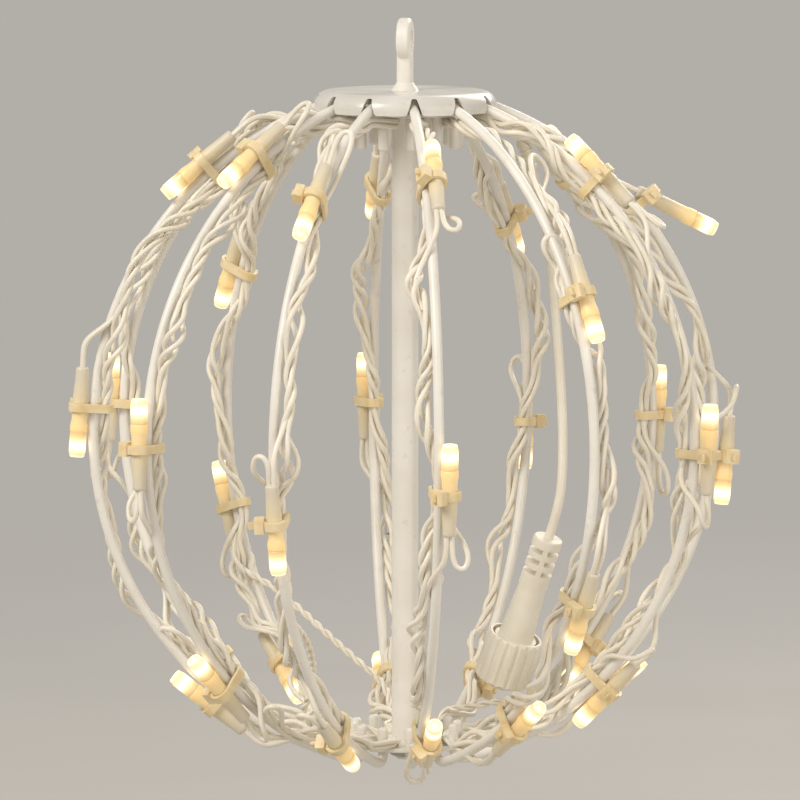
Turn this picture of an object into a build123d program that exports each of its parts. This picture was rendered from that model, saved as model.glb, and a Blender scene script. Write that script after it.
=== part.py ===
from build123d import *
import os
from math import acos, cos, degrees, pi, radians, sin, sqrt, tan

# A hanging ball of bent wire ribs that swing together to fold, with a string of lamps tied to them.
# Millimetres, +Z up. The origin is the middle of the hanging eye's bore, whose axis is X.
# Shapes are drawn about the ball's centre, then moved down by HANG_DROP as they are written.

# Ribs
RIB_COUNT = 12
FIRST_RIB_DEG = 15.0
RIB_WIRE_D = 3.0
BALL_RADIUS = 93.7          # wire centre, where the ball is widest
RIB_ARC_RADIUS = 103.0      # larger than the ball's radius, so the ball is a little taller than wide
LEG_RING_RADIUS = 16.0
LEG_BEND_RADIUS = 3.0
TOP_LEG_LENGTH = 11.7
BOTTOM_LEG_LENGTH = 7.3
LEG_TIP_ROUND = 0.9
LEG_CLEARANCE = 0.08

# Hub
DISC_RADIUS = 19.5
DISC_THICKNESS = 1.2
DISC_EDGE_ROUND = 0.3
DISC_SETBACK = 0.3          # from the start of the leg's bend to the disc's face
POST_D = 8.0
ROD_D = 5.0
ROD_CLEARANCE = 0.1
THREAD_CLEARANCE = 0.05
NUT_FLATS = 8.0
NUT_CHAMFER = 0.5
BOTTOM_NUT_HEIGHT = 3.6
ROD_TAIL = 0.8              # past the bottom nut

# Top cap
CAP_RADIUS = 27.5
CAP_SHEET = 0.8
CAP_GAP = 0.3               # above the ribs
CAP_SHOULDER = 4.6
SKIRT_HEIGHT = 6.0
NOTCH_DEPTH = 5.0
NOTCH_MOUTH = 4.8
NOTCH_CROWN = 1.5
NOTCH_CROWN_ROUND = 0.5
TOOTH_ROUND = 1.0           # corners of the skirt's teeth, between the notches

# Hanging eye
EYE_OUTER_D = 12.4
EYE_BORE_D = 5.6
EYE_WIDTH = 4.0
EYE_EDGE_ROUND = 1.0
EYE_RISE = 15.4             # bore above the cap's top
FLARE_D = 8.2
FLARE_HEIGHT = 2.4

# Light string
BUNDLE_D = 3.2
BUNDLE_GAP = 0.15           # between the bundle and the rib
BUNDLE_END_RADIUS = 25.5    # where the bundle stops beside the hub
SOCKET_D = 4.6
SOCKET_TAIL_D = 3.6
SOCKET_TAPER = 6.0
SOCKET_LENGTH = 19.5
COLLAR_D = 5.2
COLLAR_LENGTH = 3.0
LENS_D = 5.0
LENS_LENGTH = 7.5
LENS_TIP_D = 4.2
LENS_ROUND = 1.4            # height of the lens's bevelled shoulder
LENS_DIMPLE = 1.2
SPIGOT_D = 3.4
SPIGOT_LENGTH = 2.0
SPIGOT_CLEARANCE = 0.05
LAMP_GAP = 0.1              # between a lamp's collar and the rib
LAMP_GRIP = 12.0            # from the socket's back end to its tie

# Cable ties
TIE_WIDTH = 2.6
TIE_THICKNESS = 1.0
TIE_CLEARANCE = 0.15
TIE_HEAD_LENGTH = 4.6
TIE_HEAD_WIDTH = 4.2
TIE_HEAD_HEIGHT = 3.0
TIE_HEAD_ROUND = 0.6

# Lamps on each rib in turn, as (degrees up the rib's arc, which way it points, lean round the rib,
# splay away from the rib, grip). Up is 1 and down is -1. A splayed lamp is tied near its back end.
STRAIGHT = (0.0, LAMP_GRIP)
SPLAYED = (24.0, 3.5)
LAMPS = [
    [(40, -1, 10, *SPLAYED), (-5, -1, 15, *STRAIGHT), (-49, 1, 5, *STRAIGHT)],
    [(46, 1, 20, *STRAIGHT), (-1, 1, 25, *STRAIGHT), (-42, -1, 10, *STRAIGHT)],
    [(33, -1, 15, *STRAIGHT), (-4, -1, 30, *STRAIGHT), (-53, 1, 10, *STRAIGHT)],
    [(40, -1, 20, *STRAIGHT), (-1, 1, 35, *STRAIGHT), (-54, 1, 15, *STRAIGHT)],
    [(24, -1, 25, *STRAIGHT), (-18, 1, 10, *STRAIGHT), (-47, -1, 20, *STRAIGHT)],
    [(47, -1, 5, *STRAIGHT), (2, 1, 15, *STRAIGHT), (-46, -1, 10, *STRAIGHT)],
    [(49, -1, 20, *STRAIGHT), (4, -1, 5, *STRAIGHT), (-51, 1, 15, *STRAIGHT)],
    [(53, -1, 10, *STRAIGHT), (0, 1, 25, *STRAIGHT), (-44, 1, 15, *STRAIGHT)],
    [(44, -1, 15, *STRAIGHT), (-10, -1, 20, *STRAIGHT), (-56, -1, 5, *STRAIGHT)],
    [(48, 1, 35, *STRAIGHT), (-5, 1, 40, *STRAIGHT), (-57, 1, 35, *STRAIGHT)],
    [(26, -1, 20, *STRAIGHT), (-25, -1, 10, *STRAIGHT), (-53, 1, 5, *STRAIGHT)],
    [(47, 1, 15, *STRAIGHT), (-2, 1, 10, *STRAIGHT), (-45, -1, 15, *STRAIGHT)],
]

# Lead, which leaves the string on one rib. Its points are (out from the axis, round towards the rib
# before, up) in that rib's plane.
LEAD_RIB = 1
LEAD_D = 2.9
LEAD_EXIT_RADIUS = 44.0
BOOT_START = 1.0
BOOT_LENGTH = 9.0
BOOT_BASE_D = 4.4
BOOT_TIP_D = 3.8
BOOT_SADDLE_DEG = 8.0       # of the string's arc, each way from the exit, that the boot is hollowed for
LEAD_POINTS = [
    (49.5, 1.7, 67.5),
    (51.0, 3.8, 53.0),
    (51.2, 6.3, 38.2),
    (50.5, 9.2, 23.4),
    (49.3, 12.5, 9.4),
    (47.5, 15.8, -3.2),
    (44.7, 19.3, -15.0),
    (43.0, 19.7, -25.1),
    (42.0, 16.0, -34.6),
]
ARC_SHARE = 0.45            # of the shorter run, taken by the arc at a corner

# Plug on the lead's end
RELIEF_LENGTH = 16.2
RELIEF_D = 9.0
RELIEF_TIP_ROUND = 0.5
RELIEF_SLOTS = 3
RELIEF_FIRST_SLOT = 3.7     # from the tip to the slot's middle
RELIEF_SLOT_PITCH = 3.5
RELIEF_SLOT_WIDTH = 1.6
RELIEF_CORE_D = 4.2
RELIEF_WEB = 1.5            # thickness of the two webs that bridge each slot
RELIEF_WEB_DEG = 35.0
PLUG_BODY_LENGTH = 17.4
PLUG_BACK_D = 8.6
PLUG_FRONT_D = 10.8
PLUG_SHOULDER_D = 13.0
PLUG_SHOULDER_LENGTH = 1.8
PLUG_NECK_D = 11.2
PLUG_FLANGE_D = 13.8
PLUG_FLANGE_LENGTH = 1.8
PLUG_NOSE_D = 8.6
PLUG_NOSE_PROUD = 1.8       # past the coupling nut's front end
NOSE_BORE_D = 5.2
NOSE_BORE_DEPTH = 6.5
PIN_D = 1.8
PIN_LENGTH = 5.5
PIN_ROUND = 0.45
SLEEVE_WALL = 0.35
PLUG_NUT_D = 17.4
PLUG_NUT_LENGTH = 15.0
PLUG_NUT_MOUTH_D = 14.8
PLUG_NUT_MOUTH_DEPTH = 2.4  # from the nut's back end to its lip
PLUG_NUT_LIP = 2.0
PLUG_NUT_CLEARANCE = 0.1
PLUG_NUT_CHAMFER = 0.65
PLUG_NUT_FLUTES = 18
FLUTE_D = 2.0
FLUTE_DEPTH = 0.6

# Jumper wires between neighbouring ribs, low inside the ball, as (rib, degrees up its arc, next rib,
# degrees up its arc, sag)
JUMPER_D = 2.2
JUMPER_GAP = 0.3
JUMPER_SHAPE = [(0.38, 0.35, 1.0), (0.75, 0.2, 0.8)]     # share of the way, then drop and pull in per sag
JUMPERS = [
    (3, -61, 4, -34, 5.0),
    (8, -33, 7, -60, 6.0),
    (2, -66, 1, -62, 3.0),
]

arc_shift = RIB_ARC_RADIUS - BALL_RADIUS
wire_r = RIB_WIRE_D / 2
bend_out = LEG_RING_RADIUS + LEG_BEND_RADIUS
bend_up = sqrt((RIB_ARC_RADIUS - LEG_BEND_RADIUS) ** 2 - (bend_out + arc_shift) ** 2)
disc_face = bend_up - DISC_SETBACK
disc_back = disc_face - DISC_THICKNESS
cap_under = bend_up + LEG_BEND_RADIUS + wire_r + CAP_GAP
cap_top = cap_under + CAP_SHEET
skirt_bottom = cap_top - SKIRT_HEIGHT
eye_up = cap_top + EYE_RISE
HANG_DROP = eye_up
rod_hole_r = ROD_D / 2 + ROD_CLEARANCE
bundle_offset = wire_r + BUNDLE_GAP + BUNDLE_D / 2
bundle_arc = RIB_ARC_RADIUS - bundle_offset
# along the plug's axis, from the tip of its strain relief
plug_shoulder = RELIEF_LENGTH + PLUG_BODY_LENGTH
plug_neck = plug_shoulder + PLUG_SHOULDER_LENGTH
plug_flange = plug_neck + PLUG_NUT_LIP + 2 * PLUG_NUT_CLEARANCE
plug_nut_back = plug_neck + PLUG_NUT_CLEARANCE - PLUG_NUT_MOUTH_DEPTH
plug_nose_end = plug_nut_back + PLUG_NUT_LENGTH + PLUG_NOSE_PROUD


def rib_angle(index):
    return FIRST_RIB_DEG + index * 360 / RIB_COUNT


def on_arc(degrees_up, offset=0.0):
    """A point in the rib's plane, at an angle up its arc and a distance outside its centre line."""
    reach = RIB_ARC_RADIUS + offset
    turn = radians(degrees_up)
    return Vector(reach * cos(turn) - arc_shift, 0, reach * sin(turn))


def round_bar(path, diameter):
    start = Plane(origin=path @ 0, z_dir=path % 0)
    return sweep(start * Circle(diameter / 2), path=path)


def write(name, *pieces):
    moved = [Pos(0, 0, -HANG_DROP) * piece for piece in pieces]
    export_step(moved[0] if len(moved) == 1 else Compound(children=moved), f"parts/{name}.step")


def rib():
    """One wire: a leg, a tight bend, the long arc, and the same again at the bottom."""
    reach = RIB_ARC_RADIUS / (RIB_ARC_RADIUS - LEG_BEND_RADIUS)
    meet_out = (bend_out + arc_shift) * reach - arc_shift
    meet_up = bend_up * reach
    turn = (pi + acos((meet_out - bend_out) / LEG_BEND_RADIUS)) / 2
    crown = (bend_out + LEG_BEND_RADIUS * cos(turn), bend_up + LEG_BEND_RADIUS * sin(turn))
    leg = LEG_RING_RADIUS
    path = Wire([
        Edge.make_line((leg, 0, bend_up - TOP_LEG_LENGTH), (leg, 0, bend_up)),
        Edge.make_three_point_arc((leg, 0, bend_up), (crown[0], 0, crown[1]), (meet_out, 0, meet_up)),
        Edge.make_three_point_arc((meet_out, 0, meet_up), (BALL_RADIUS, 0, 0), (meet_out, 0, -meet_up)),
        Edge.make_three_point_arc((meet_out, 0, -meet_up), (crown[0], 0, -crown[1]), (leg, 0, -bend_up)),
        Edge.make_line((leg, 0, -bend_up), (leg, 0, BOTTOM_LEG_LENGTH - bend_up)),
    ])
    bar = round_bar(path, RIB_WIRE_D)
    tips = [bar.faces().filter_by(Plane.XY).sort_by(Axis.Z)[end] for end in (0, -1)]
    return fillet([tip.edges()[0] for tip in tips], LEG_TIP_ROUND)


def hub_disc():
    """A flat disc, face up at z = 0, with a hole for each leg and one for the rod."""
    disc = extrude(Circle(DISC_RADIUS), -DISC_THICKNESS)
    disc = fillet(disc.edges(), DISC_EDGE_ROUND)
    legs = PolarLocations(LEG_RING_RADIUS, RIB_COUNT, start_angle=FIRST_RIB_DEG)
    disc -= legs * Cylinder(wire_r + LEG_CLEARANCE, 3 * DISC_THICKNESS)
    return disc - Cylinder(rod_hole_r, 3 * DISC_THICKNESS)


def hex_nut(height):
    """A nut standing on z = 0."""
    nut = extrude(RegularPolygon(NUT_FLATS / 2, 6, major_radius=False), height)
    nut = chamfer(nut.edges().filter_by(Plane.XY), NUT_CHAMFER)
    return nut - Cylinder(ROD_D / 2 + THREAD_CLEARANCE, 3 * height)


def top_cap():
    """A pressed cap whose skirt has a tapered notch over each rib."""
    inner = CAP_RADIUS - CAP_SHEET
    profile = Polyline(
        (rod_hole_r, cap_top), (CAP_RADIUS, cap_top), (CAP_RADIUS, skirt_bottom),
        (inner, skirt_bottom), (inner, cap_under), (rod_hole_r, cap_under), close=True,
    )
    section = make_face(profile)
    outer_corner = section.vertices().sort_by_distance((CAP_RADIUS, cap_top))[0]
    section = fillet(outer_corner, CAP_SHOULDER)
    inner_corner = section.vertices().sort_by_distance((inner, cap_under))[0]
    section = fillet(inner_corner, CAP_SHOULDER - CAP_SHEET)
    cap = revolve(Plane.XZ * section, Axis.Z)
    mouth = NOTCH_MOUTH / 2
    crown = NOTCH_CROWN / 2
    below = SKIRT_HEIGHT
    flank = (mouth - crown) / NOTCH_DEPTH
    notch_outline = make_face(Polyline(
        (-mouth - flank * below, -below), (mouth + flank * below, -below),
        (crown, NOTCH_DEPTH), (-crown, NOTCH_DEPTH), close=True,
    ))
    top_corners = notch_outline.vertices().group_by(Axis.Y)[-1]
    notch_outline = fillet(top_corners, NOTCH_CROWN_ROUND)
    notch_start = CAP_RADIUS - CAP_SHOULDER
    notch_plane = Plane(origin=(notch_start, 0, skirt_bottom), x_dir=(0, 1, 0), z_dir=(1, 0, 0))
    notch = extrude(notch_plane * notch_outline, CAP_SHOULDER + CAP_SHEET)
    for index in range(RIB_COUNT):
        cap -= Rot(0, 0, rib_angle(index)) * notch
    rim = cap.faces().sort_by(Axis.Z)[:RIB_COUNT]
    corners = [edge for face in rim for edge in face.edges().filter_by(GeomType.LINE)]
    return fillet(corners, TOOTH_ROUND)


def eye_bolt():
    """The eye, its stem with a flared foot on the cap, and the rod through the hub, in one piece."""
    rod_bottom = -disc_face - BOTTOM_NUT_HEIGHT - ROD_TAIL
    eye = Rot(0, 90, 0) * Cylinder(EYE_OUTER_D / 2, EYE_WIDTH)
    eye = fillet(eye.edges().filter_by(GeomType.CIRCLE), EYE_EDGE_ROUND)
    bolt = Pos(0, 0, eye_up) * eye
    shank_top = eye_up - (EYE_OUTER_D + EYE_BORE_D) / 4
    shank_length = shank_top - rod_bottom
    bolt += Pos(0, 0, rod_bottom + shank_length / 2) * Cylinder(ROD_D / 2, shank_length)
    bolt += Pos(0, 0, cap_top + FLARE_HEIGHT / 2) * Cone(FLARE_D / 2, ROD_D / 2, FLARE_HEIGHT)
    return bolt - Pos(0, 0, eye_up) * Rot(0, 90, 0) * Cylinder(EYE_BORE_D / 2, 2 * EYE_OUTER_D)


def centre_post():
    post = extrude(Circle(POST_D / 2) - Circle(rod_hole_r), 2 * disc_back)
    return Pos(0, 0, -disc_back) * post


def bundle():
    """The string's twisted wires as one bar on the rib's inner side."""
    end = degrees(acos((BUNDLE_END_RADIUS + arc_shift) / bundle_arc))
    ends = [on_arc(turn, -bundle_offset) for turn in (end, 0, -end)]
    return round_bar(Wire([Edge.make_three_point_arc(*ends)]), BUNDLE_D)


def lamp_reach(lamp):
    """From the rib's centre to the lamp's, at the tie, so that its collar and its tail clear the rib."""
    _, _, _, splay, grip = lamp
    tail = SOCKET_TAIL_D / 2 * cos(radians(splay)) + grip * sin(radians(splay))
    return wire_r + LAMP_GAP + max(COLLAR_D / 2, tail)


def lamp_places(lamp):
    """The tie's plane on the rib, the direction out to the lamp in that plane, and the lamp's own plane."""
    turn_up, way, lean, splay, _ = lamp
    out = (on_arc(turn_up, 1.0) - on_arc(turn_up)).normalized()
    along = Vector(-out.Z, 0, out.X) * way
    tie_plane = Plane(origin=on_arc(turn_up), x_dir=out, z_dir=along)
    side = Vector(cos(radians(lean)), way * sin(radians(lean)))
    lamp_out = tie_plane.x_dir * side.X + tie_plane.y_dir * side.Y
    axis = along * cos(radians(splay)) + lamp_out * sin(radians(splay))
    seat = on_arc(turn_up) + lamp_out * lamp_reach(lamp)
    return tie_plane, side, Plane(origin=seat, x_dir=lamp_out.cross(axis), z_dir=axis)


def socket(lamp):
    """A moulded lamp holder with a tapered tail, a collar and a pocket for the lens's spigot."""
    grip = lamp[4]
    front = SOCKET_LENGTH - grip
    outline = Polyline(
        (0, -grip), (SOCKET_TAIL_D / 2, -grip), (SOCKET_D / 2, SOCKET_TAPER - grip),
        (SOCKET_D / 2, front - COLLAR_LENGTH), (COLLAR_D / 2, front - COLLAR_LENGTH),
        (COLLAR_D / 2, front), (0, front), close=True,
    )
    holder = revolve(Plane.XZ * make_face(outline), Axis.Z)
    pocket = Pos(0, 0, front) * Cylinder(SPIGOT_D / 2 + SPIGOT_CLEARANCE, 2 * SPIGOT_LENGTH)
    return lamp_places(lamp)[2] * (holder - pocket)


def lens(lamp):
    """A clear lens with a bevelled shoulder and a dimpled tip, seated on the collar."""
    front = SOCKET_LENGTH - lamp[4]
    tip = front + LENS_LENGTH
    spigot_end = front - SPIGOT_LENGTH + SPIGOT_CLEARANCE
    outline = Polyline(
        (0, spigot_end), (SPIGOT_D / 2, spigot_end), (SPIGOT_D / 2, front), (LENS_D / 2, front),
        (LENS_D / 2, tip - LENS_ROUND), (LENS_TIP_D / 2, tip), (0, tip - LENS_DIMPLE), close=True,
    )
    return lamp_places(lamp)[2] * revolve(Plane.XZ * make_face(outline), Axis.Z)


def cable_tie(lamp):
    """A band drawn round the rib, the bundle and the lamp, with its head beside the lamp."""
    tie_plane, side, _ = lamp_places(lamp)
    splay = radians(lamp[3])
    room = TIE_WIDTH / 2 * tan(splay) + SOCKET_D / 2 * (1 / cos(splay) - 1)
    lamp_r = SOCKET_D / 2 + TIE_CLEARANCE + room
    lamp_centre = side * lamp_reach(lamp)
    rings = Circle(wire_r + TIE_CLEARANCE).edges()
    rings += (Pos(-bundle_offset, 0) * Circle(BUNDLE_D / 2 + TIE_CLEARANCE)).edges()
    rings += (Pos(lamp_centre.X, lamp_centre.Y) * Circle(lamp_r)).edges()
    inside = make_hull(rings)
    outside = offset(inside, TIE_THICKNESS)
    band = Pos(0, 0, -TIE_WIDTH / 2) * extrude(outside, TIE_WIDTH)
    hollow = Pos(0, 0, -TIE_WIDTH) * extrude(inside, 2 * TIE_WIDTH)
    head_side = Vector(side.Y, -side.X) * lamp[1]
    head_reach = lamp_r + TIE_THICKNESS / 2 + TIE_HEAD_HEIGHT / 2
    head_centre = lamp_centre + head_side * head_reach
    head = Box(TIE_HEAD_HEIGHT, TIE_HEAD_LENGTH, TIE_HEAD_WIDTH)
    head = fillet(head.edges().filter_by(Axis.Z), TIE_HEAD_ROUND)
    turn = degrees(acos(max(-1.0, min(1.0, head_side.X))))
    head = Rot(0, 0, turn if head_side.Y > 0 else -turn) * head
    return tie_plane * (band + Pos(head_centre.X, head_centre.Y) * head - hollow)


def rounded_route(points):
    """Straight runs joined by arcs as large as the runs allow."""
    runs = [(b - a).length for a, b in zip(points, points[1:])]
    radii = []
    for index in range(1, len(points) - 1):
        turn = (points[index] - points[index - 1]).get_angle(points[index + 1] - points[index])
        radii.append(ARC_SHARE * min(runs[index - 1], runs[index]) / tan(radians(turn) / 2))
    print("bend radii", [round(radius, 1) for radius in radii])
    return Wire(FilletPolyline(*points, radius=radii).edges())


def lead_route():
    """The lead's points in the ball's frame, and where its bundle is at the exit."""
    exit_up = sqrt(bundle_arc**2 - (LEAD_EXIT_RADIUS + arc_shift) ** 2)
    exit_point = Vector(LEAD_EXIT_RADIUS, 0, exit_up)
    points = [Vector(out, -before, up) for out, before, up in LEAD_POINTS]
    leave = (points[0] - exit_point).normalized()
    points.insert(0, exit_point + leave * BOOT_LENGTH)
    return exit_point, leave, points


def lead_boot():
    """The moulded boot on the bundle that the lead comes out of."""
    exit_point, leave, _ = lead_route()
    length = BOOT_LENGTH - BOOT_START
    boot = Pos(0, 0, BOOT_START + length / 2) * Cone(BOOT_BASE_D / 2, BOOT_TIP_D / 2, length)
    boot = Plane(origin=exit_point, z_dir=leave) * boot
    turn_up = degrees(acos((LEAD_EXIT_RADIUS + arc_shift) / bundle_arc))
    saddle = [on_arc(turn_up + way * BOOT_SADDLE_DEG, -bundle_offset) for way in (1, 0, -1)]
    return boot - round_bar(Wire([Edge.make_three_point_arc(*saddle)]), BUNDLE_D + 2 * THREAD_CLEARANCE)


def lead_cord():
    path = rounded_route(lead_route()[2])
    cord = round_bar(path, LEAD_D)
    section = pi * LEAD_D**2 / 4
    print("lead length", round(path.length, 1), "by volume", round(cord.volume / section, 1))
    return cord


def plug_plane():
    points = lead_route()[2]
    return Plane(origin=points[-1], x_dir=(1, 0, 0), z_dir=points[-1] - points[-2])


def plug_body():
    """The moulded strain relief, grip, shoulder, neck, flange and nose, bored for the contacts."""
    flange_end = plug_flange + PLUG_FLANGE_LENGTH
    outline = make_face(Polyline(
        (0, 0), (RELIEF_D / 2, 0), (RELIEF_D / 2, RELIEF_LENGTH), (PLUG_BACK_D / 2, RELIEF_LENGTH),
        (PLUG_FRONT_D / 2, plug_shoulder), (PLUG_SHOULDER_D / 2, plug_shoulder),
        (PLUG_SHOULDER_D / 2, plug_neck), (PLUG_NECK_D / 2, plug_neck), (PLUG_NECK_D / 2, plug_flange),
        (PLUG_FLANGE_D / 2, plug_flange), (PLUG_FLANGE_D / 2, flange_end), (PLUG_NOSE_D / 2, flange_end),
        (PLUG_NOSE_D / 2, plug_nose_end), (0, plug_nose_end), close=True,
    ))
    tip_corner = outline.vertices().sort_by_distance((RELIEF_D / 2, 0))[0]
    body = revolve(Plane.XZ * fillet(tip_corner, RELIEF_TIP_ROUND), Axis.Z)
    body -= Pos(0, 0, plug_nose_end) * Cylinder(NOSE_BORE_D / 2, 2 * NOSE_BORE_DEPTH)
    slot = Cylinder(RELIEF_D, RELIEF_SLOT_WIDTH) - Cylinder(RELIEF_CORE_D / 2, RELIEF_SLOT_WIDTH)
    slot -= Rot(0, 0, RELIEF_WEB_DEG) * Box(RELIEF_WEB, 2 * RELIEF_D, RELIEF_SLOT_WIDTH)
    for index in range(RELIEF_SLOTS):
        body -= Pos(0, 0, RELIEF_FIRST_SLOT + index * RELIEF_SLOT_PITCH) * slot
    return plug_plane() * body


def plug_contacts():
    """The centre pin, and the sleeve that lines the nose."""
    floor = plug_nose_end - NOSE_BORE_DEPTH
    pin = extrude(Circle(PIN_D / 2), PIN_LENGTH)
    pin = fillet(pin.faces().sort_by(Axis.Z)[-1].edges(), PIN_ROUND)
    sleeve_r = NOSE_BORE_D / 2 - THREAD_CLEARANCE
    sleeve = extrude(Circle(sleeve_r) - Circle(sleeve_r - SLEEVE_WALL), PIN_LENGTH)
    return [plug_plane() * (Pos(0, 0, floor) * piece) for piece in (pin, sleeve)]


def plug_nut():
    """A fluted coupling nut, open at both ends, whose inner lip turns freely on the plug's neck."""
    nut = extrude(Circle(PLUG_NUT_D / 2), PLUG_NUT_LENGTH)
    nut = chamfer(nut.edges(), PLUG_NUT_CHAMFER)
    nut -= Cylinder(PLUG_NECK_D / 2 + PLUG_NUT_CLEARANCE, 3 * PLUG_NUT_LENGTH)
    nut -= extrude(Circle(PLUG_NUT_MOUTH_D / 2), PLUG_NUT_MOUTH_DEPTH)
    bore = extrude(Circle(PLUG_FLANGE_D / 2 + PLUG_NUT_CLEARANCE), PLUG_NUT_LENGTH)
    nut -= Pos(0, 0, PLUG_NUT_MOUTH_DEPTH + PLUG_NUT_LIP) * bore
    flutes = PolarLocations(PLUG_NUT_D / 2 + FLUTE_D / 2 - FLUTE_DEPTH, PLUG_NUT_FLUTES)
    nut -= flutes * Cylinder(FLUTE_D / 2, 3 * PLUG_NUT_LENGTH)
    return plug_plane() * (Pos(0, 0, plug_nut_back) * nut)


def jumper(route):
    """A slack wire pair from one rib's bundle to the next, held just inside both."""
    first, first_up, second, second_up, sag = route
    inside = -(bundle_offset + BUNDLE_D / 2 + JUMPER_GAP + JUMPER_D / 2)
    start = on_arc(first_up, inside).rotate(Axis.Z, rib_angle(first))
    end = on_arc(second_up, inside).rotate(Axis.Z, rib_angle(second))
    inward = Vector(-(start + end).X, -(start + end).Y, 0).normalized()
    points = [start]
    for share, drop, pull in JUMPER_SHAPE:
        points.append(start * (1 - share) + end * share + Vector(0, 0, -drop * sag) + inward * pull * sag)
    points.append(end)
    return round_bar(rounded_route(points), JUMPER_D)


os.makedirs("parts", exist_ok=True)

write("eye_bolt", eye_bolt())
write("top_cap", top_cap())
write("cap_nut", Pos(0, 0, disc_face) * hex_nut(cap_under - disc_face))
write("centre_post", centre_post())
write("top_disc", Pos(0, 0, disc_face) * hub_disc())
write("bottom_disc", Pos(0, 0, -disc_face) * Rot(180, 0, 0) * hub_disc())
write("bottom_nut", Pos(0, 0, -disc_face - BOTTOM_NUT_HEIGHT) * hex_nut(BOTTOM_NUT_HEIGHT))

wire = rib()
wires = bundle()
for index in range(RIB_COUNT):
    place = Rot(0, 0, rib_angle(index))
    number = f"{index + 1:02d}"
    string = [place * wires] + [place * socket(lamp) for lamp in LAMPS[index]]
    if index == LEAD_RIB:
        string.append(place * lead_boot())
    write(f"rib_{number}", place * wire)
    write(f"light_string_{number}", *string)
    write(f"lamp_lenses_{number}", *[place * lens(lamp) for lamp in LAMPS[index]])
    write(f"cable_ties_{number}", *[place * cable_tie(lamp) for lamp in LAMPS[index]])

lead_place = Rot(0, 0, rib_angle(LEAD_RIB))
write("lead_cord", lead_place * lead_cord())
write("plug_body", lead_place * plug_body())
write("plug_contacts", *[lead_place * piece for piece in plug_contacts()])
write("plug_nut", lead_place * plug_nut())
write("jumper_wires", *[jumper(route) for route in JUMPERS])
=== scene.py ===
import random
from math import acos, cos, pi, radians, sin, sqrt, tau

import bmesh
import bpy
from mathutils import Matrix, Vector


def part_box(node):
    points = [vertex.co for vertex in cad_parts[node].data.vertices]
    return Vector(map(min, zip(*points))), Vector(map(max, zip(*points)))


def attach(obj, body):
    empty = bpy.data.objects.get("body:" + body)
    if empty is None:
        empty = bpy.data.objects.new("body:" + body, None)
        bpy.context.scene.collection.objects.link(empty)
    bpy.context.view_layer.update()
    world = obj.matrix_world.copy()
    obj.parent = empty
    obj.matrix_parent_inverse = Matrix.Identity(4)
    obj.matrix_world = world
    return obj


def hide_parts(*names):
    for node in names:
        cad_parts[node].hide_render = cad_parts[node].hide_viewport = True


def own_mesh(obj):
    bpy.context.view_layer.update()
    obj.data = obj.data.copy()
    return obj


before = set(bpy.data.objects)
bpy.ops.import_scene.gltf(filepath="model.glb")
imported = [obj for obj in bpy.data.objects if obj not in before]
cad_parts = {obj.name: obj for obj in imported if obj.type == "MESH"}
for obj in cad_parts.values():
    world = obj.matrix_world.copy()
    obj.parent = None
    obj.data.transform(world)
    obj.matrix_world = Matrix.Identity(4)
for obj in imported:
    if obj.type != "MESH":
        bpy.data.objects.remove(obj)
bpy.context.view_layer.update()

# A hanging ball of coated wire ribs, with a string of lamps tied to them and a lead put away inside.
# Sizes are millimetres about the ball's centre, the same as the solids', and MM turns them to metres.
MM = 0.001
SEED = 31

RIB_COUNT = 12
FIRST_RIB_DEG = 15.0
RIB_WIRE_R = 1.5
BALL_RADIUS = 93.7
RIB_ARC_RADIUS = 103.0
ARC_SHIFT = RIB_ARC_RADIUS - BALL_RADIUS

rib_low, rib_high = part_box("rib_01")
BALL_CENTRE = Vector((0, 0, (rib_low.z + rib_high.z) / 2))

# Lamps
LAMP_GAP = 0.1
SOCKET_D = 4.6
SOCKET_TAIL_D = 3.6
SOCKET_LENGTH = 19.5
COLLAR_D = 5.2
COLLAR_LENGTH = 3.0
LENS_D = 5.0
LENS_LENGTH = 7.5
LENS_TIP_D = 4.2
LENS_SHOULDER = 1.4
LENS_DIMPLE = 1.2
LENS_NECK_INSET = 0.8       # the neck stands in the holder's mouth
LENS_NECK_LENGTH = 1.0
MOUTH_INSET = 0.7           # both insets are from the lens's radius
MOUTH_DEPTH = 1.4
LENS_GLOW = 1.6             # strength of its light where it is brightest
# A lamp's splay away from the rib in degrees, and the length behind its tie
STRAIGHT = (0.0, 12.0)
SPLAYED = (24.0, 3.5)
# On each rib in turn: degrees up the rib's arc, which way the lamp points, its lean round the rib, and
# the two above
LAMPS = [
    [(40, -1, 10, *SPLAYED), (-5, -1, 15, *STRAIGHT), (-49, 1, 5, *STRAIGHT)],
    [(46, 1, 20, *STRAIGHT), (-1, 1, 25, *STRAIGHT), (-42, -1, 10, *STRAIGHT)],
    [(33, -1, 15, *STRAIGHT), (-4, -1, 30, *STRAIGHT), (-53, 1, 10, *STRAIGHT)],
    [(40, -1, 20, *STRAIGHT), (-1, 1, 35, *STRAIGHT), (-54, 1, 15, *STRAIGHT)],
    [(24, -1, 25, *STRAIGHT), (-18, 1, 10, *STRAIGHT), (-47, -1, 20, *STRAIGHT)],
    [(47, -1, 5, *STRAIGHT), (2, 1, 15, *STRAIGHT), (-46, -1, 10, *STRAIGHT)],
    [(49, -1, 20, *STRAIGHT), (4, -1, 5, *STRAIGHT), (-51, 1, 15, *STRAIGHT)],
    [(53, -1, 10, *STRAIGHT), (0, 1, 25, *STRAIGHT), (-44, 1, 15, *STRAIGHT)],
    [(44, -1, 15, *STRAIGHT), (-10, -1, 20, *STRAIGHT), (-56, -1, 5, *STRAIGHT)],
    [(48, 1, 35, *STRAIGHT), (-5, 1, 40, *STRAIGHT), (-57, 1, 35, *STRAIGHT)],
    [(26, -1, 20, *STRAIGHT), (-25, -1, 10, *STRAIGHT), (-53, 1, 5, *STRAIGHT)],
    [(47, 1, 15, *STRAIGHT), (-2, 1, 10, *STRAIGHT), (-45, -1, 15, *STRAIGHT)],
]

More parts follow.
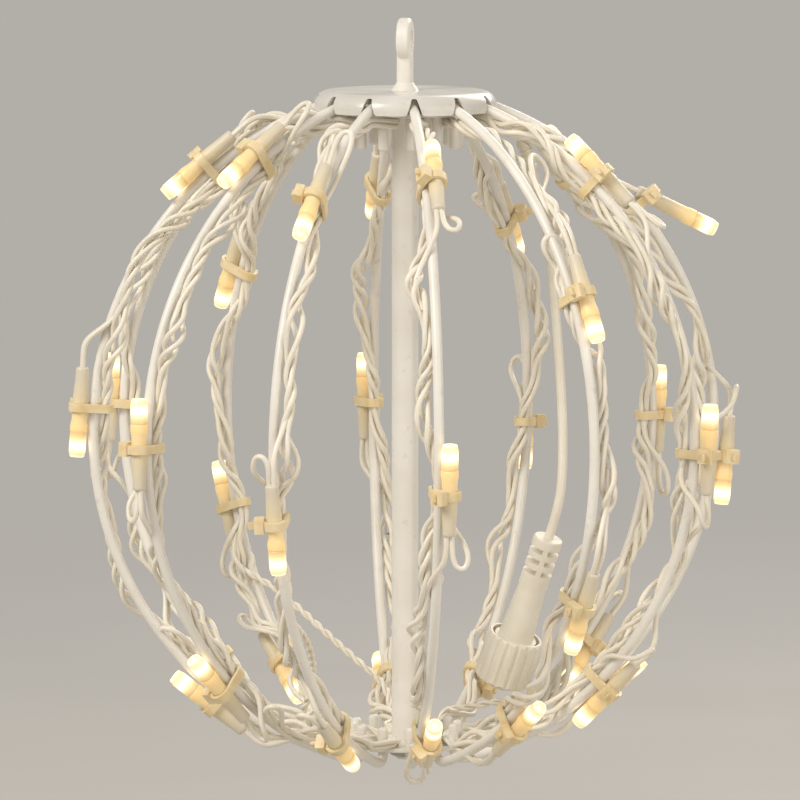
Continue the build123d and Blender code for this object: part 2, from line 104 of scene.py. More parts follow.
# Ties, whose cut ends stand out of their heads
TIE_THICKNESS = 1.0
TIE_REACH = 5.95            # from a straight lamp's middle to the outer face of its tie's head
SPLAYED_TIE_REACH = 6.75
TIE_TAIL_WIDTH = 2.3
TIE_TAIL = (0.9, 2.6)       # shortest and longest
TIE_TAIL_ROUND = 0.2
TIE_TAIL_SEED = 7

# String of twisted strands
STRAND_D = 1.6
STRAND_COUNT = 3
STRAND_ROUNDNESS = 3
BUNDLE_GAP = 0.15
BUNDLE_R = 1.6
BUNDLE_OFFSET = RIB_WIRE_R + BUNDLE_GAP + BUNDLE_R
TIE_HOLD = 14.0             # how far from a tie the string is still drawn to the rib's inner side
STRAND_STEP = 2.2
STRING_END_OUT = 25.5
TIED_TWIST = 0.93           # from the string's middle to a strand's, where a tie draws them together
LOOSE_TWIST = 1.6           # what is added to that in a loose stretch, in these shares
OPEN_SHARE = 0.32
# Each wave is its length along the rib, its height, and which of the string's phases it has
OPEN_WAVES = [(37, 0.42, 0), (21, 0.26, 1)]
TWIST_PITCH = 28.0
PITCH_SPREAD = (0.85, 1.2)
TWIST_WAVE = (29, 0.5, 4)   # radians of twist
SWING = (0.9, 2.3)          # radians round the rib, between two ties
SWAY_WAVE = (43, 0.35, 2)   # radians more
LIFT_WAVE = (37, 1.2, 3)    # off the rib
WAVE_PHASES = 8
# At each hub the string hooks round its rib's own leg, close against the disc, and ends in it
HUB_DIVE = [(22.0, 1.9, 93.0), (18.6, 3.6, 92.7), (15.0, 4.0, 92.7), (12.6, 2.4, 92.9), (12.3, 0.2, 95.1)]

# A lamp's wires, as points behind its holder: how far, to the side, and out
WIRE_INSIDE = 1.5           # the length of wire in the holder's back end
WIRE_START = [(0, 0.7, 0), (2.5, 0.75, 0)]
WIRE_ONWARD = [(6, 0.9, 0.2), (10, 1.2, -0.3)]
WIRE_NEARS = (13, 1.3, -0.8)            # halfway from here to the string at the first of the joins
WIRE_JOINS = (14, 19, 23, 29)
LOOPED_SHARE = 0.55         # of the lamps, whose second wire goes back to the tie in a loop
LOOP_FAR = 5.5
LOOP_SLACK = (0, 6)         # least and most that is added to that
LOOP_WIDE = 5.4
# Its points: a share of how far the loop goes, what is added there, a share of how wide it is, and out
WIRE_LOOP = [
    (0.6, 0, 0.12, 0.5), (1, 0, 0.08, 0.9), (1, 3.2, 0.3, 1.1), (1, 3.2, 0.8, 0.9), (1, 0, 1.05, 0.4),
    (0.5, 0, 1.0, -0.8),
]
WIRE_RETURNS = [(3, 0.6), (7, 0.15)]    # nearer to the tie, and the share of the width
WIRE_END = 1.0
# A slack loop leaves the string and comes back into it. Its bulge is shares of the loop's size.
LOOP_AIM = 2.0              # to each side of the loop, for the string's direction there
LOOP_LEAVES = (12.0, 7.5)
LOOP_SHAPE = [
    (-0.45, 0.2, 0.1), (0.0, 0.55, 0.2), (0.45, 0.95, 0.2), (0.9, 1.0, 0.1), (1.05, 0.7, -0.1),
    (0.78, 0.35, -0.2), (0.2, 0.12, -0.15),
]
LOOP_RETURNS = (3.0, 6.0, 9.0)
# The loops on some ribs: degrees up the rib's arc, size and side
SLACK_LOOPS = {
    2: [(44, 5.0, -1), (38, 4.0, 1)],
    3: [(50, 6.0, -1)],
    4: [(-30, 6.0, -1)],
    5: [(56, 7.0, 1)],
    6: [(58, 6.0, -1), (-40, 8.0, 1)],
    7: [(-34, 9.0, -1), (-54, 7.0, 1)],
    9: [(-22, 5.0, 1)],
    10: [(34, 7.0, -1), (50, 11.0, 1)],
    11: [(24, 6.0, 1)],
}

# Lead and the ribbed boot where it leaves its string. The boot's ends and rings are points in from its
# radius and along.
LEAD_RIB = 1
LEAD_D = 2.9
LEAD_EXIT_OUT = 44.0
BOOT_LENGTH = 9.0
BOOT_BASE_D = 4.4
BOOT_TIP_D = 3.8
BOOT_BACK = [(0.4, -0.6), (0.0, 0.2)]
BOOT_RINGS = 4
BOOT_FIRST_RING = 1.6
BOOT_RING_PITCH = 1.7
BOOT_RING = [(0.0, 0.0), (0.45, 0.3), (0.45, 0.9), (0.1, 1.2)]
BOOT_FRONT = [(0.0, -0.4), (0.3, 0.0)]
# Out from the axis in the rib's plane, round towards the rib before, and up
LEAD_POINTS = [
    (49.5, 1.7, 67.5),
    (51.0, 3.8, 53.0),
    (51.2, 6.3, 38.2),
    (50.5, 9.2, 23.4),
    (49.3, 12.5, 9.4),
    (47.5, 15.8, -3.2),
    (44.7, 19.3, -15.0),
    (43.0, 19.7, -25.1),
    (42.0, 16.0, -34.6),
]

# Jumpers between neighbouring ribs: a rib, degrees up its arc, the next rib, degrees up its arc, sag
JUMPER_STRAND_D = 1.15
JUMPER_PITCH = 9.0
JUMPER_INSIDE = 6.25        # from the rib's middle to the jumper's
JUMPER_TUCK = 9.0           # the length of each end that runs into a rib's string
JUMPER_SHAPE = [(0.38, 0.35, 1.0), (0.75, 0.2, 0.8)]    # share of the way, then drop and pull in per sag
JUMPERS = [
    (3, -61, 4, -34, 5.0),
    (8, -33, 7, -60, 6.0),
    (2, -66, 1, -62, 3.0),
]
JUMPER_KEEP = 0.25          # of a jumper's depth that is left when the ball is folded

# Meshes
TURNED_SEGMENTS = 28
CREASE_DEG = 38.0
ROUTE_RESOLUTION = 24

# Camera, and the pixel where the ball's centre is seen in the square picture
CAMERA_AZIMUTH = 9.0
CAMERA_ELEVATION = 6.0
CAMERA_DISTANCE = 2400.0
CAMERA_SIGHT = 20000.0
PICTURE_PX = 800
MM_PER_PX = 0.30
BALL_CENTRE_PX = (405, 428)

# Floor, and lamps by their place from the ball's centre and size in metres, watts and colour
FLOOR_DROP = 190.0          # the floor's depth below the ball's centre
FLOOR_RADIUS = 1600.0
FLOOR_EVEN = 250.0          # from its middle to where it starts to fade
FLOOR_SEGMENTS = 96
STUDIO_LAMPS = [
    ("key", (-0.9, -1.1, 1.1), 0.8, 22, "#fffaf3"),
    ("fill", (1.3, -0.9, 0.3), 1.2, 10, "#fff8ee"),
    ("back", (0.5, 1.3, 0.9), 1.0, 15, "#fffaf3"),
]
AROUND_LIGHT = 0.42


def rib_angle(rib):
    return FIRST_RIB_DEG + rib * 360 / RIB_COUNT


def rib_turn(rib):
    return Matrix.Rotation(radians(rib_angle(rib)), 3, "Z")


def at_rib(rib, out, side, up):
    """A point in metres, from millimetres out from the axis in a rib's plane, to its side, and up."""
    return BALL_CENTRE + rib_turn(rib) @ Vector((out, side, up)) * MM


def beside(run, out, side):
    """A point in a rib's plane: so far up its arc, then outwards from the wire's middle and to its side."""
    turn_up = run / RIB_ARC_RADIUS
    reach = RIB_ARC_RADIUS + out
    return Vector((reach * cos(turn_up) - ARC_SHIFT, side, reach * sin(turn_up)))


def smooth(share):
    share = max(0.0, min(1.0, share))
    return share * share * (3 - 2 * share)


# Camera

def make_camera():
    turn, lift = radians(CAMERA_AZIMUTH), radians(CAMERA_ELEVATION)
    away = Vector((-sin(turn) * cos(lift), cos(turn) * cos(lift), -sin(lift)))
    right = Vector((cos(turn), sin(turn), 0))
    up = right.cross(away)
    half = PICTURE_PX / 2
    left_px, down_px = half - BALL_CENTRE_PX[0], BALL_CENTRE_PX[1] - half
    target = BALL_CENTRE + (right * left_px + up * down_px) * MM_PER_PX * MM
    data = bpy.data.cameras.new("camera")
    data.sensor_fit = "HORIZONTAL"
    data.lens = data.sensor_width * CAMERA_DISTANCE / (PICTURE_PX * MM_PER_PX)
    data.clip_end = CAMERA_SIGHT * MM
    camera = bpy.data.objects.new("camera", data)
    camera.location = target - away * CAMERA_DISTANCE * MM
    camera.rotation_euler = away.to_track_quat("-Z", "Y").to_euler()
    bpy.context.scene.collection.objects.link(camera)
    bpy.context.scene.camera = camera


make_camera()


# Curves and meshes

def curve_mesh(name, paths, diameter, order, resolution):
    """The mesh of smooth curves along lists of points in metres: round strands, or bare lines."""
    data = bpy.data.curves.new(name, "CURVE")
    data.dimensions = "3D"
    data.bevel_depth = diameter / 2 * MM
    data.bevel_resolution = STRAND_ROUNDNESS
    data.resolution_u = resolution
    data.use_fill_caps = True
    for path in paths:
        spline = data.splines.new("NURBS")
        spline.points.add(len(path) - 1)
        for point, place in zip(spline.points, path):
            point.co = (*place, 1)
        spline.order_u = order
        spline.use_endpoint_u = True
    curve = bpy.data.objects.new(name, data)
    bpy.context.scene.collection.objects.link(curve)
    mesh = bpy.data.meshes.new_from_object(curve)
    bpy.data.objects.remove(curve)
    bpy.data.curves.remove(data)
    mesh.name = name
    return mesh


def tube(name, paths, diameter, order=4, resolution=3):
    """Round strands along lists of points, as one piece."""
    piece = bpy.data.objects.new(name, curve_mesh(name, paths, diameter, order, resolution))
    piece.data.shade_smooth()
    bpy.context.scene.collection.objects.link(piece)
    return piece


def smooth_line(points):
    """Points along the smooth curve that follows a cord's route."""
    mesh = curve_mesh("route", [points], 0, 3, ROUTE_RESOLUTION)
    line = [vert.co.copy() for vert in mesh.vertices]
    bpy.data.meshes.remove(mesh)
    return line


def turned(name, outlines, places):
    """Turned pieces as one mesh: outlines of (radius, height, share along), spun round their places' Z."""
    shape = bmesh.new()
    along = shape.verts.layers.float.new("along")
    for outline, place in zip(outlines, places):
        rings = []
        for radius, height, share in outline:
            count = 1 if radius == 0 else TURNED_SEGMENTS
            ring = []
            for step in range(count):
                turn = tau * step / TURNED_SEGMENTS
                corner = Vector((radius * cos(turn), radius * sin(turn), height))
                vert = shape.verts.new(place @ (corner * MM))
                vert[along] = share
                ring.append(vert)
            rings.append(ring)
        for lower, upper in zip(rings, rings[1:]):
            for step in range(TURNED_SEGMENTS):
                after = (step + 1) % TURNED_SEGMENTS
                corners = [lower[step % len(lower)], lower[after % len(lower)],
                           upper[after % len(upper)], upper[step % len(upper)]]
                shape.faces.new(list(dict.fromkeys(corners)))
    bmesh.ops.recalc_face_normals(shape, faces=shape.faces)
    return mesh_piece(name, shape)


def mesh_piece(name, shape):
    """A shown object from a bmesh, smooth but for its sharp edges."""
    for face in shape.faces:
        face.smooth = True
    for edge in shape.edges:
        edge.smooth = len(edge.link_faces) == 2 and edge.calc_face_angle() < radians(CREASE_DEG)
    data = bpy.data.meshes.new(name)
    shape.to_mesh(data)
    shape.free()
    piece = bpy.data.objects.new(name, data)
    bpy.context.scene.collection.objects.link(piece)
    return piece


# Lead

def lead_route():
    """In the rib's plane: where the lead leaves its string, its direction there, and its points."""
    bundle_arc = RIB_ARC_RADIUS - BUNDLE_OFFSET
    exit_point = Vector((LEAD_EXIT_OUT, 0, sqrt(bundle_arc**2 - (LEAD_EXIT_OUT + ARC_SHIFT) ** 2)))
    points = [Vector((out, -before, up)) for out, before, up in LEAD_POINTS]
    leave = (points[0] - exit_point).normalized()
    return exit_point, leave, [exit_point + leave * BOOT_LENGTH] + points


def boot_outline():
    """The boot's taper, with a groove before each of its rings."""
    base, tip = BOOT_BASE_D / 2, BOOT_TIP_D / 2
    runs = [(base, 0.0, BOOT_BACK)]
    for ring in range(BOOT_RINGS):
        radius = base + (tip - base) * ring / BOOT_RINGS
        runs.append((radius, BOOT_FIRST_RING + ring * BOOT_RING_PITCH, BOOT_RING))
    runs.append((tip, BOOT_LENGTH, BOOT_FRONT))
    outline = [(radius - inset, start + step, 0) for radius, start, run in runs for inset, step in run]
    return [(0, outline[0][1], 0), *outline, (0, outline[-1][1], 0)]


def make_lead():
    exit_point, leave, route = lead_route()
    points = [at_rib(LEAD_RIB, *point) for point in route]
    lead = tube("lead", [points], LEAD_D, order=3, resolution=12)
    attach(lead, "arm_02")
    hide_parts("lead_cord")
    smooth_line(points)
    turn = leave.to_track_quat("Z", "Y").to_matrix()
    place = Matrix.Translation(at_rib(LEAD_RIB, *exit_point)) @ (rib_turn(LEAD_RIB) @ turn).to_4x4()
    boot = turned("lead_boot", [boot_outline()], [place])
    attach(boot, "arm_02")
    return [lead, boot]


# Lamps

def lamp_reach(lamp):
    """From the rib's middle to the lamp's, at the tie."""
    _, _, _, splay, grip = lamp
    tail = SOCKET_TAIL_D / 2 * cos(radians(splay)) + grip * sin(radians(splay))
    return RIB_WIRE_R + LAMP_GAP + max(COLLAR_D / 2, tail)


def lamp_axes(lamp):
    """In the rib's plane: the lamp's middle at its tie, its way out from the rib, and its axis."""
    turn_up, way, lean, splay, _ = lamp
    turn_up = radians(turn_up)
    out = Vector((cos(turn_up), 0, sin(turn_up)))
    along = Vector((-sin(turn_up), 0, cos(turn_up))) * way
    lamp_out = out * cos(radians(lean)) + Vector((0, sin(radians(lean)), 0))
    axis = along * cos(radians(splay)) + lamp_out * sin(radians(splay))
    seat = beside(turn_up * RIB_ARC_RADIUS, 0, 0) + lamp_out * lamp_reach(lamp)
    return seat, lamp_out, axis


def lamp_place(rib, lamp):
    """The lamp's own frame in metres, with its axis as Z."""
    seat, lamp_out, axis = lamp_axes(lamp)
    side = axis.cross(lamp_out).normalized()
    turn = Matrix((side.cross(axis).normalized(), side, axis)).transposed()
    return Matrix.Translation(at_rib(rib, *seat)) @ (rib_turn(rib) @ turn).to_4x4()


def socket_outline(lamp):
    """The moulded holder: a plain barrel with a rounded back end, swelling a little to a soft collar."""
    back = -lamp[4]
    front = back + SOCKET_LENGTH
    tail, barrel, collar = SOCKET_TAIL_D / 2, SOCKET_D / 2, COLLAR_D / 2
    step = front - COLLAR_LENGTH
    mouth = LENS_D / 2 - MOUTH_INSET
    from_back = [
        (0, 0), (tail - 0.45, 0), (tail - 0.1, 0.12), (tail + 0.1, 0.4), (tail + 0.15, 0.9),
        (tail + 0.17, 2.4), (tail + 0.22, 4.2), (barrel - 0.12, 6.4), (barrel, 9.0),
    ]
    heights = [(radius, back + height) for radius, height in from_back]
    heights += [
        (barrel, step - 0.9), (barrel + 0.06, step - 0.3), (collar - 0.1, step + 0.5), (collar, step + 1.1),
        (collar, front - 0.5), (collar - 0.08, front - 0.15), (collar - 0.25, front),
        (mouth, front), (mouth, front - MOUTH_DEPTH), (0, front - MOUTH_DEPTH),
    ]
    return [(radius, height, (height - back) / SOCKET_LENGTH) for radius, height in heights]


def lens_outline(lamp):
    """The lens: a straight barrel, a bevelled shoulder, a rim and a dimpled tip."""
    foot = SOCKET_LENGTH - lamp[4]
    tip = foot + LENS_LENGTH
    barrel, rim = LENS_D / 2, LENS_TIP_D / 2
    neck, neck_end = barrel - LENS_NECK_INSET, foot - LENS_NECK_LENGTH
    shoulder = tip - LENS_SHOULDER
    return [
        (0, neck_end, 0), (neck, neck_end, 0), (neck, foot + 0.02, 0), (barrel - 0.1, foot + 0.03, 0),
        (barrel, foot + 0.15, 0.02), (barrel, foot + 2.2, 0.3), (barrel, foot + 4.4, 0.6),
        (barrel, shoulder - 0.15, 0.8), (barrel - 0.06, shoulder + 0.05, 0.82),
        (rim + 0.06, tip - 0.2, 0.95), (rim - 0.05, tip - 0.04, 1.0), (rim - 0.25, tip, 1.0),
        (rim - 0.5, tip - 0.12, 0.97), (rim * 0.45, tip - LENS_DIMPLE * 0.62, 0.72),
        (0, tip - LENS_DIMPLE, 0.6),
    ]


# Strings

class LightString:
    """The twisted string on one rib: drawn to its inner side at each tie, and loose between them."""

    def __init__(self, rib):
        self.rib = rib
        self.chance = random.Random(SEED + rib)
        self.ties = sorted(radians(lamp[0]) * RIB_ARC_RADIUS for lamp in LAMPS[rib])
        end_share = (STRING_END_OUT + ARC_SHIFT) / (RIB_ARC_RADIUS - BUNDLE_OFFSET)
        self.reach = acos(end_share) * RIB_ARC_RADIUS
        bounds = [-self.reach, *self.ties, self.reach]
        self.stretches = list(zip(bounds, bounds[1:]))
        self.swings = [self.chance.choice((-1, 1)) * self.chance.uniform(*SWING) for _ in self.stretches]
        self.phases = [self.chance.uniform(0, tau) for _ in range(WAVE_PHASES)]
        self.pitch = TWIST_PITCH * self.chance.uniform(*PITCH_SPREAD) * self.chance.choice((-1, 1))
        self.middle_line = self.make_middle()

    def looseness(self, run):
        """From 0 where a tie or the hub holds the string to 1 well away from them."""
        return smooth(min(abs(run - tie) for tie in (*self.ties, -self.reach, self.reach)) / TIE_HOLD)

    def wave(self, run, wave):
        length, height, phase = wave
        return height * sin(tau * run / length + self.phases[phase])

    def twist_radius(self, run):
        """From the string's middle to its strands'."""
        opening = OPEN_SHARE + sum(self.wave(run, wave) for wave in OPEN_WAVES)
        return TIED_TWIST + LOOSE_TWIST * max(0.0, opening) * self.looseness(run)

    def middle(self, run):
        """The string's middle in the rib's plane."""
        around = 0.0
        for (low, high), swing in zip(self.stretches, self.swings):
            if low <= run <= high:
                around = swing * sin(pi * (run - low) / (high - low))
        around = (around + self.wave(run, SWAY_WAVE)) * self.looseness(run)
        far = RIB_WIRE_R + BUNDLE_GAP + self.twist_radius(run) + STRAND_D / 2
        far += self.looseness(run) * max(0.0, self.wave(run, LIFT_WAVE))
        return beside(run, -far * cos(around), far * sin(around))

    def make_middle(self):
        """The string's middle, twist radius and twist angle at steps, from the lower hub to the upper."""
        steps = round(2 * self.reach / STRAND_STEP)
        line = []
        for step in range(steps + 1):
            run = -self.reach + 2 * self.reach * step / steps
            turn = tau * run / self.pitch + self.wave(run, TWIST_WAVE)
            line.append((self.middle(run), self.twist_radius(run), turn))
        last_turn = abs(line[-1][2] - line[-2][2])
        for out, side, up in HUB_DIVE:
            line.append((Vector((out, side, up)), TIED_TWIST, line[-1][2] + last_turn))
            line.insert(0, (Vector((out, side, -up)), TIED_TWIST, line[0][2] - last_turn))
        return line

    def strands(self):
        """Each strand's points in metres."""
        paths = [[] for _ in range(STRAND_COUNT)]
        sideways = Vector((0, 1, 0))
        for index, (middle, radius, turn) in enumerate(self.middle_line):
            before = self.middle_line[max(0, index - 1)][0]
            after = self.middle_line[min(len(self.middle_line) - 1, index + 1)][0]
            way = (after - before).normalized()
            first = (sideways - way * sideways.dot(way)).normalized()
            second = way.cross(first)
            for strand, path in enumerate(paths):
                angle = turn + strand * tau / STRAND_COUNT
                offset = (first * cos(angle) + second * sin(angle)) * radius
                path.append(at_rib(self.rib, *(middle + offset)))
        return paths

    def lamp_wires(self, lamp):
        """A lamp's two wires: one runs on into the string, the other with it or back in a round loop."""
        seat, lamp_out, axis = lamp_axes(lamp)
        turn_up, way, _, _, grip = lamp
        tie = radians(turn_up) * RIB_ARC_RADIUS
        side = Vector((0, 1, 0))
        back = seat - axis * (grip - WIRE_INSIDE)
        hand = self.chance.choice((-1, 1))
        slack = self.chance.uniform(*LOOP_SLACK)
        loops = self.chance.random() < LOOPED_SHARE

        def from_tie(distance):
            return self.middle(max(-self.reach, min(self.reach, tie - way * distance)))

        def behind(points, hand):
            return [back - axis * far + side * wide * hand + lamp_out * out for far, wide, out in points]

        def onward(hand):
            joins = [from_tie(grip + join) for join in WIRE_JOINS]
            joins[0] = behind([WIRE_NEARS], hand)[0].lerp(joins[0], 0.5)
            return behind(WIRE_START + WIRE_ONWARD, hand) + joins

        def looped(hand):
            far = LOOP_FAR + slack
            loop = [(far * share + more, LOOP_WIDE * wide, out) for share, more, wide, out in WIRE_LOOP]
            path = behind(WIRE_START + loop, hand)
            for near, wide in WIRE_RETURNS:
                path.append(from_tie(grip - near) + side * LOOP_WIDE * wide * hand)
            return [*path, from_tie(WIRE_END)]

        second = looped(-hand) if loops else onward(-hand)
        return [[at_rib(self.rib, *point) for point in path] for path in (onward(hand), second)]

    def slack_loop(self, run, size, hand):
        """A teardrop of slack wire that leaves the string and comes back into it."""
        side = Vector((0, 1, 0))
        middle = self.middle(run)
        along = (self.middle(run + LOOP_AIM) - self.middle(run - LOOP_AIM)).normalized()
        out = along.cross(side)
        path = [self.middle(run - step) for step in LOOP_LEAVES]
        for step, wide, lift in LOOP_SHAPE:
            path.append(middle + (along * step + side * hand * wide + out * lift) * size)
        path += [self.middle(run - step) for step in LOOP_RETURNS]
        return [at_rib(self.rib, *point) for point in path]


def make_tie_tails(rib):
    """The cut ends of a rib's ties."""
    chance = random.Random(SEED * rib + TIE_TAIL_SEED)
    shape = bmesh.new()
    for lamp in LAMPS[rib]:
        seat, lamp_out, _ = lamp_axes(lamp)
        turn_up = radians(lamp[0])
        up_arc = Vector((-sin(turn_up), 0, cos(turn_up)))
        head_way = lamp_out.cross(up_arc)
        length = chance.uniform(*TIE_TAIL)
        reach = TIE_REACH if lamp[3] == 0 else SPLAYED_TIE_REACH
        sides = (head_way * length, lamp_out * TIE_THICKNESS, up_arc * TIE_TAIL_WIDTH)
        turn = rib_turn(rib) @ Matrix(sides).transposed() * MM
        middle = at_rib(rib, *(seat + head_way * (reach + length / 2 - TIE_TAIL_ROUND)))
        bmesh.ops.create_cube(shape, size=1.0, matrix=Matrix.Translation(middle) @ turn.to_4x4())
    bmesh.ops.bevel(shape, geom=shape.edges[:], offset=TIE_TAIL_ROUND * MM, segments=2, affect="EDGES")
    tails = mesh_piece(f"tie_tails_{rib + 1:02d}", shape)
    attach(tails, f"arm_{rib + 1:02d}")
    return tails


def make_rib_string(rib):
    """A rib's string, its lamp holders and its lenses."""
    number = f"{rib + 1:02d}"
    body = f"arm_{number}"
    string = LightString(rib)
    paths = string.strands()
    for lamp in LAMPS[rib]:
        paths += string.lamp_wires(lamp)
    for turn_up, size, hand in SLACK_LOOPS.get(rib, []):
        paths.append(string.slack_loop(radians(turn_up) * RIB_ARC_RADIUS, size, hand))
    strands = tube(f"string_{number}", paths, STRAND_D)
    places = [lamp_place(rib, lamp) for lamp in LAMPS[rib]]
    sockets = turned(f"lamp_sockets_{number}", [socket_outline(lamp) for lamp in LAMPS[rib]], places)
    lenses = turned(f"lenses_{number}", [lens_outline(lamp) for lamp in LAMPS[rib]], places)
    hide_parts(f"light_string_{number}")
    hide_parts(f"lamp_lenses_{number}")
    for piece, slot in ((strands, "string_pvc"), (sockets, "string_pvc"), (lenses, "lamp_lens")):
        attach(piece, body)
    return strands, sockets, lenses


def twisted_pair(line):
    """Two strands' points, wound round a line of points."""
    paths = [[], []]
    run = 0.0
    for step, point in enumerate(line):
        before, after = line[max(0, step - 1)], line[min(len(line) - 1, step + 1)]
        run += (point - before).length
        way = (after - before).normalized()
        across = way.cross(Vector((0, 0, 1))).normalized()
        for strand, path in enumerate(paths):
            turn = tau * run / (JUMPER_PITCH * MM) + strand * pi
            offset = (across * cos(turn) + way.cross(across) * sin(turn)) * JUMPER_STRAND_D / 2 * MM
            path.append(point + offset)
    return paths


def make_jumper(index, route):
    """A slack twisted pair from one rib's string to the next."""
    first, first_up, second, second_up, sag = route
    first_run, second_run = radians(first_up) * RIB_ARC_RADIUS, radians(second_up) * RIB_ARC_RADIUS
    start = at_rib(first, *beside(first_run, -JUMPER_INSIDE, 0))
    end = at_rib(second, *beside(second_run, -JUMPER_INSIDE, 0))
    middle = (start + end) / 2
    inward = Vector((-middle.x, -middle.y, 0)).normalized()
    tuck = JUMPER_TUCK if second_up > first_up else -JUMPER_TUCK
    points = [at_rib(first, *LightString(first).middle(first_run - tuck)), start]
    for share, drop, pull in JUMPER_SHAPE:
        points.append(start.lerp(end, share) + (inward * pull - Vector((0, 0, drop))) * sag * MM)
    points += [end, at_rib(second, *LightString(second).middle(second_run + tuck))]
    piece = tube(f"jumper_{index + 1:02d}", twisted_pair(smooth_line(points)), JUMPER_STRAND_D)
    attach(piece, f"arm_{first + 1:02d}")
    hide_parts("jumper_wires")
    # the far end's pull towards the other rib's string, were the ball folded; nothing here uses it
    pull = (end - start) * (1 - JUMPER_KEEP)
    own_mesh(piece)
    return piece


lead_pieces = make_lead()
rib_pieces = [make_rib_string(rib) for rib in range(RIB_COUNT)]
tie_tails = [make_tie_tails(rib) for rib in range(RIB_COUNT)]
jumpers = [make_jumper(index, route) for index, route in enumerate(JUMPERS)]


# Materials

def colour(hex_value):
    """An sRGB hex colour as linear RGBA."""
    parts = [int(hex_value[at:at + 2], 16) / 255 for at in (1, 3, 5)]
    return tuple(c / 12.92 if c <= 0.04045 else ((c + 0.055) / 1.055) ** 2.4 for c in parts) + (1.0,)


def add(tree, kind, inputs, stops=(), **settings):
    """Adds a node. Inputs are constants or linked sockets, and stops are a ramp's places and colours."""
    node = tree.nodes.new(kind)
    for name, value in settings.items():
        setattr(node, name, value)
    for name, value in inputs.items():
        if isinstance(value, bpy.types.NodeSocket):
            tree.links.new(value, node.inputs[name])
        else:
            node.inputs[name].default_value = value
    for index, (place, hex_value) in enumerate(stops):
        elements = node.color_ramp.elements
        element = elements[index] if index < len(elements) else elements.new(1.0)
        element.position = place
        element.color = colour(hex_value)
    return node


def per_mm(size):
    """A texture's scale for features of a size in millimetres."""
    return 1 / (size * MM)


def new_material(name, **shader):
    """A material, its node tree, its shader and the surface's place in metres."""
    material = bpy.data.materials.new(name)
    material.use_nodes = True
    tree = material.node_tree
    shade = tree.nodes["Principled BSDF"]
    for socket, value in shader.items():
        shade.inputs[socket.replace("_", " ")].default_value = value
    place = add(tree, "ShaderNodeTexCoord", {}).outputs["Object"]
    return material, tree, shade, place


def powder_coat(name, light, dark, grime, roughness):
    """Polyester powder baked on steel: satin, with a faint orange peel, a cloudy tone and a little dust."""
    material, tree, shade, place = new_material(name, IOR=1.5)
    cloud = add(tree, "ShaderNodeTexNoise", {"Vector": place, "Scale": per_mm(14), "Detail": 3.0})
    base = add(tree, "ShaderNodeValToRGB", {"Fac": cloud.outputs["Fac"]}, [(0.32, dark), (0.68, light)])
    specks = add(tree, "ShaderNodeTexNoise", {"Vector": place, "Scale": per_mm(2.6), "Detail": 4.0})
    dust = add(tree, "ShaderNodeMapRange", {
        "Value": specks.outputs["Fac"], "From Min": 0.62, "From Max": 0.78, "To Max": 0.4})
    mixed = add(tree, "ShaderNodeMixRGB", {
        "Fac": dust.outputs["Result"], "Color1": base.outputs["Color"], "Color2": colour(grime)})
    tree.links.new(mixed.outputs["Color"], shade.inputs["Base Color"])
    gloss = add(tree, "ShaderNodeMapRange", {
        "Value": cloud.outputs["Fac"], "To Min": roughness - 0.07, "To Max": roughness + 0.09})
    tree.links.new(gloss.outputs["Result"], shade.inputs["Roughness"])
    peel = add(tree, "ShaderNodeTexNoise", {"Vector": place, "Scale": per_mm(0.9), "Detail": 2.0})
    bump = add(tree, "ShaderNodeBump", {
        "Height": peel.outputs["Fac"], "Strength": 0.35, "Distance": 0.05 * MM})
    tree.links.new(bump.outputs["Normal"], shade.inputs["Normal"])
    return material


def zinc_plate():
    """Zinc-plated steel nuts: a soft grey metal with fine spangle and duller, yellowed patches."""
    material, tree, shade, place = new_material("zinc_plated_steel", Metallic=1.0)
    spangle = add(tree, "ShaderNodeTexVoronoi", {"Vector": place, "Scale": per_mm(1.2)})
    tone = add(tree, "ShaderNodeValToRGB", {"Fac": spangle.outputs["Distance"]},
               [(0.0, "#c9c7c2"), (0.7, "#a8a49b")])
    tree.links.new(tone.outputs["Color"], shade.inputs["Base Color"])
    gloss = add(tree, "ShaderNodeMapRange", {
        "Value": spangle.outputs["Distance"], "To Min": 0.3, "To Max": 0.5})
    tree.links.new(gloss.outputs["Result"], shade.inputs["Roughness"])
    return material


def pvc(name, light, dark, roughness, grain):
    """Soft PVC, extruded or moulded: an even ivory with a cloudy tone and a soft shine. Its skin is drawn
    coarser than it is, so that it shows."""
    material, tree, shade, place = new_material(
        name, IOR=1.53, Subsurface_Weight=0.12, Subsurface_Scale=0.8 * MM,
        Subsurface_Radius=(1.0, 0.8, 0.5))
    cloud = add(tree, "ShaderNodeTexNoise", {"Vector": place, "Scale": per_mm(9), "Detail": 4.0})
    tone = add(tree, "ShaderNodeValToRGB", {"Fac": cloud.outputs["Fac"]}, [(0.3, dark), (0.7, light)])
    tree.links.new(tone.outputs["Color"], shade.inputs["Base Color"])
    gloss = add(tree, "ShaderNodeMapRange", {
        "Value": cloud.outputs["Fac"], "To Min": roughness - 0.08, "To Max": roughness + 0.1})
    tree.links.new(gloss.outputs["Result"], shade.inputs["Roughness"])
    skin = add(tree, "ShaderNodeTexNoise", {"Vector": place, "Scale": per_mm(grain), "Detail": 2.0})
    bump = add(tree, "ShaderNodeBump", {
        "Height": skin.outputs["Fac"], "Strength": 0.3, "Distance": 0.04 * MM})
    tree.links.new(bump.outputs["Normal"], shade.inputs["Normal"])
    return material


